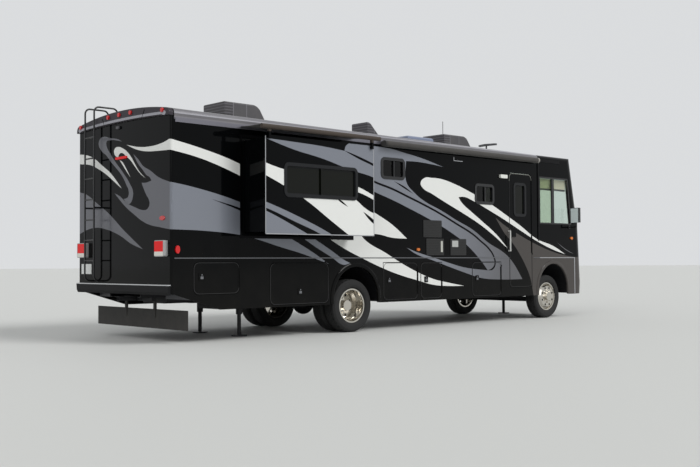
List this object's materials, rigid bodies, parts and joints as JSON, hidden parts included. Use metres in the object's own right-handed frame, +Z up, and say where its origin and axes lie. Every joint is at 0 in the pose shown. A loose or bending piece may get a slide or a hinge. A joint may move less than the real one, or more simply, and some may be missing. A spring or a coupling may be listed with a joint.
{
  "type": "motorhome",
  "caption": "Box-bodied motorhome with slide-out rooms, hinged entry and storage doors, steered front wheels, twin rear wheels and levelling jacks.",
  "frame": {"origin": "on the ground under the middle of the coach's length and width", "axes": "+X forward along the coach, +Y to its left, +Z up"},
  "size_m": [9.9498, 3.7778, 3.9],
  "materials": {
    "alloy": "polished",
    "black_paint": "gloss",
    "black_plastic": "satin",
    "board": "satin",
    "clear_glass": "gloss",
    "clear_lens": "gloss",
    "dark_steel": "satin",
    "grey_plastic": "satin",
    "red_lens": "gloss",
    "seat_fabric": "woven",
    "trim_metal": "satin",
    "tyre_rubber": "matt",
    "window_glass": "gloss"
  },
  "bodies": {
    "coach": {"chassis_frame": "dark_steel", "driveline": "dark_steel", "front_axle": "dark_steel", "rear_axle": "dark_steel", "side_wall_right": "black_paint", "side_wall_left": "black_paint", "floor_deck": "board", "engine_cover": "grey_plastic", "storage_bays": "grey_plastic", "skirt_right": "black_paint", "skirt_left": "black_paint", "rear_cap": "black_paint", "rear_brow": "black_paint", "front_cap": "black_paint", "roof": "black_paint", "windshield": "clear_glass", "grille": "black_plastic", "headlamps": "clear_lens", "window_frames": "black_plastic", "window_glass": "window_glass", "entry_step": "dark_steel", "mouldings": "trim_metal", "rear_bumper": "black_plastic", "tail_lamps": "red_lens", "marker_lamps": "red_lens", "ladder": "black_plastic", "roof_units": "black_plastic", "awning": "trim_metal", "mirrors": "black_plastic", "levelling_jacks": "dark_steel", "rock_guard": "grey_plastic", "tanks": "black_plastic", "service_hatches": "black_paint", "dashboard": "grey_plastic", "cab_seats": "seat_fabric"},
    "front_wheel_right": {"front_rim_right": "alloy", "front_tyre_right": "tyre_rubber"},
    "front_wheel_left": {"front_rim_left": "alloy", "front_tyre_left": "tyre_rubber"},
    "rear_wheels_right": {"rear_rims_right": "alloy", "rear_tyres_right": "tyre_rubber"},
    "rear_wheels_left": {"rear_rims_left": "alloy", "rear_tyres_left": "tyre_rubber"},
    "knuckle_right": {"knuckle_right": "dark_steel"},
    "knuckle_left": {"knuckle_left": "dark_steel"},
    "tie_rod": {"tie_rod": "dark_steel"},
    "entry_door": {"entry_door": "black_paint", "entry_door_window": "window_glass"},
    "slide_room_right": {"slide_room_right": "black_paint", "slide_window_right": "window_glass"},
    "slide_room_left": {"slide_room_left": "black_paint", "slide_window_left": "window_glass"},
    "storage_door_right_a": {"storage_door_right_a": "black_paint"},
    "storage_door_right_b": {"storage_door_right_b": "black_paint"},
    "storage_door_right_c": {"storage_door_right_c": "black_paint"},
    "storage_door_right_d": {"storage_door_right_d": "black_paint"},
    "storage_door_right_e": {"storage_door_right_e": "black_paint"},
    "storage_door_left_a": {"storage_door_left_a": "black_paint"},
    "storage_door_left_b": {"storage_door_left_b": "black_paint"},
    "storage_door_left_c": {"storage_door_left_c": "black_paint"}
  },
  "joints": [
    {"name": "steer_right", "type": "hinge", "parent": "coach", "child": "knuckle_right", "pos_m": [3.84, -0.9, 0.419], "axis": [0, 0, 1], "range_deg": [-35, 35]},
    {"name": "front_spin_right", "type": "hinge", "parent": "knuckle_right", "child": "front_wheel_right", "pos_m": [3.84, -1.03, 0.419], "axis": [0, 1, 0], "continuous": true},
    {"name": "rear_spin_right", "type": "hinge", "parent": "coach", "child": "rear_wheels_right", "pos_m": [-1.43, -0.957, 0.419], "axis": [0, 1, 0], "continuous": true},
    {"name": "steer_left", "type": "hinge", "parent": "coach", "child": "knuckle_left", "pos_m": [3.84, 0.9, 0.419], "axis": [0, 0, 1], "range_deg": [-35, 35]},
    {"name": "front_spin_left", "type": "hinge", "parent": "knuckle_left", "child": "front_wheel_left", "pos_m": [3.84, 1.03, 0.419], "axis": [0, 1, 0], "continuous": true},
    {"name": "rear_spin_left", "type": "hinge", "parent": "coach", "child": "rear_wheels_left", "pos_m": [-1.43, 0.957, 0.419], "axis": [0, 1, 0], "continuous": true},
    {"name": "tie_rod_pivot", "type": "hinge", "parent": "knuckle_right", "child": "tie_rod", "pos_m": [3.65, -0.9, 0.33], "axis": [0, 0, 1], "range_deg": [-36, 36]},
    {"name": "entry_door_hinge", "type": "hinge", "parent": "coach", "child": "entry_door", "pos_m": [3.157, -1.302, 1.6], "axis": [0, 0, 1], "range_deg": [0, 150]},
    {"name": "slide_out_right", "type": "slide", "parent": "coach", "child": "slide_room_right", "axis": [0, 1, 0], "range_m": [0, 0.484]},
    {"name": "slide_out_left", "type": "slide", "parent": "coach", "child": "slide_room_left", "axis": [0, -1, 0], "range_m": [0, 0.484]},
    {"name": "storage_hinge_right_a", "type": "hinge", "parent": "coach", "child": "storage_door_right_a", "pos_m": [-3.698, -1.302, 0.894], "axis": [0, 0, 1], "range_deg": [0, 110]},
    {"name": "storage_hinge_right_b", "type": "hinge", "parent": "coach", "child": "storage_door_right_b", "pos_m": [-2.578, -1.302, 1.097], "axis": [-1, 0, 0], "range_deg": [0, 95]},
    {"name": "storage_hinge_right_c", "type": "hinge", "parent": "coach", "child": "storage_door_right_c", "pos_m": [-0.013, -1.302, 0.79], "axis": [0, 0, 1], "range_deg": [0, 110]},
    {"name": "storage_hinge_right_d", "type": "hinge", "parent": "coach", "child": "storage_door_right_d", "pos_m": [0.592, -1.302, 0.79], "axis": [0, 0, 1], "range_deg": [0, 110]},
    {"name": "storage_hinge_right_e", "type": "hinge", "parent": "coach", "child": "storage_door_right_e", "pos_m": [2.216, -1.302, 0.79], "axis": [0, 0, 1], "range_deg": [0, 110]},
    {"name": "storage_hinge_left_a", "type": "hinge", "parent": "coach", "child": "storage_door_left_a", "pos_m": [-3.698, 1.302, 0.894], "axis": [0, 0, -1], "range_deg": [0, 110]},
    {"name": "storage_hinge_left_b", "type": "hinge", "parent": "coach", "child": "storage_door_left_b", "pos_m": [-2.578, 1.302, 1.097], "axis": [1, 0, 0], "range_deg": [0, 95]},
    {"name": "storage_hinge_left_c", "type": "hinge", "parent": "coach", "child": "storage_door_left_c", "pos_m": [0.075, 1.302, 1.097], "axis": [1, 0, 0], "range_deg": [0, 95]}
  ],
  "couplings": [
    {"joint": "steer_left", "follows": "steer_right", "ratio": 1},
    {"joint": "tie_rod_pivot", "follows": "steer_right", "ratio": -1}
  ]
}
